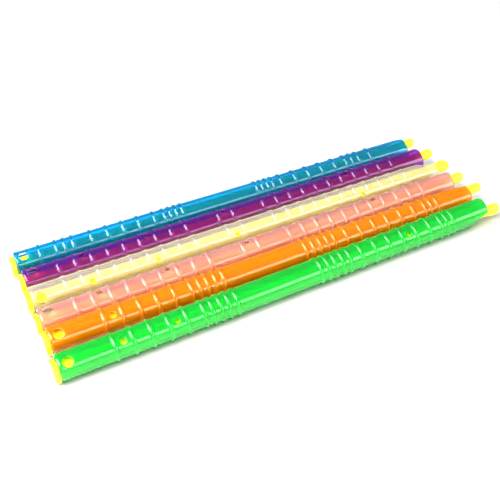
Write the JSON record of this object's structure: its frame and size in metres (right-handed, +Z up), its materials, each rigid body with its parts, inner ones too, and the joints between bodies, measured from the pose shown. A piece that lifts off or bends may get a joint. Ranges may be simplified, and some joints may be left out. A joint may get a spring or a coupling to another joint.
{
  "type": "bag sealing stick set",
  "caption": "Set of slim bag sealing sticks: translucent slotted sleeves with grip rings, each closed over a yellow rod with a disc head and rounded nose.",
  "frame": {"origin": "middle of the footprint of the six sticks, on the surface they lie on", "axes": "+X along the sticks from the rod heads to the open mouths, +Z up, -Y the front"},
  "size_m": [0.2242, 0.0906, 0.013],
  "materials": {
    "blue_plastic": "translucent, glossy",
    "purple_plastic": "translucent, glossy",
    "clear_plastic": "transparent, glossy",
    "pink_plastic": "translucent, glossy",
    "orange_plastic": "milky translucent, glossy",
    "green_plastic": "milky translucent, glossy",
    "yellow_plastic": "opaque, glossy"
  },
  "bodies": {
    "blue_sleeve_body": {"blue_sleeve": "blue_plastic"},
    "blue_rod_body": {"blue_rod": "yellow_plastic"},
    "purple_sleeve_body": {"purple_sleeve": "purple_plastic"},
    "purple_rod_body": {"purple_rod": "yellow_plastic"},
    "clear_sleeve_body": {"clear_sleeve": "clear_plastic"},
    "clear_rod_body": {"clear_rod": "yellow_plastic"},
    "pink_sleeve_body": {"pink_sleeve": "pink_plastic"},
    "pink_rod_body": {"pink_rod": "yellow_plastic"},
    "orange_sleeve_body": {"orange_sleeve": "orange_plastic"},
    "orange_rod_body": {"orange_rod": "yellow_plastic"},
    "green_sleeve_body": {"green_sleeve": "green_plastic"},
    "green_rod_body": {"green_rod": "yellow_plastic"}
  },
  "joints": [
    {"name": "blue_stick_lift", "type": "slide", "parent": "green_sleeve_body", "child": "blue_sleeve_body", "axis": [0, 0, 1], "range_m": [0, 0.08]},
    {"name": "purple_stick_lift", "type": "slide", "parent": "green_sleeve_body", "child": "purple_sleeve_body", "axis": [0, 0, 1], "range_m": [0, 0.08]},
    {"name": "clear_stick_lift", "type": "slide", "parent": "green_sleeve_body", "child": "clear_sleeve_body", "axis": [0, 0, 1], "range_m": [0, 0.08]},
    {"name": "pink_stick_lift", "type": "slide", "parent": "green_sleeve_body", "child": "pink_sleeve_body", "axis": [0, 0, 1], "range_m": [0, 0.08]},
    {"name": "orange_stick_lift", "type": "slide", "parent": "green_sleeve_body", "child": "orange_sleeve_body", "axis": [0, 0, 1], "range_m": [0, 0.08]},
    {"name": "blue_rod_slide", "type": "slide", "parent": "blue_sleeve_body", "child": "blue_rod_body", "axis": [-0.9998, 0.02, -0.0086], "range_m": [0, 0.225]},
    {"name": "purple_rod_slide", "type": "slide", "parent": "purple_sleeve_body", "child": "purple_rod_body", "axis": [-0.9999, 0.0095, -0.0048], "range_m": [0, 0.225]},
    {"name": "clear_rod_slide", "type": "slide", "parent": "clear_sleeve_body", "child": "clear_rod_body", "axis": [-0.9999, 0.0095, -0.0048], "range_m": [0, 0.225]},
    {"name": "pink_rod_slide", "type": "slide", "parent": "pink_sleeve_body", "child": "pink_rod_body", "axis": [-1, -0.0074, -0.0048], "range_m": [0, 0.225]},
    {"name": "orange_rod_slide", "type": "slide", "parent": "orange_sleeve_body", "child": "orange_rod_body", "axis": [-0.9999, -0.0081, -0.0086], "range_m": [0, 0.225]},
    {"name": "green_rod_slide", "type": "slide", "parent": "green_sleeve_body", "child": "green_rod_body", "axis": [-0.9997, -0.0252, -0.001], "range_m": [0, 0.225]}
  ]
}
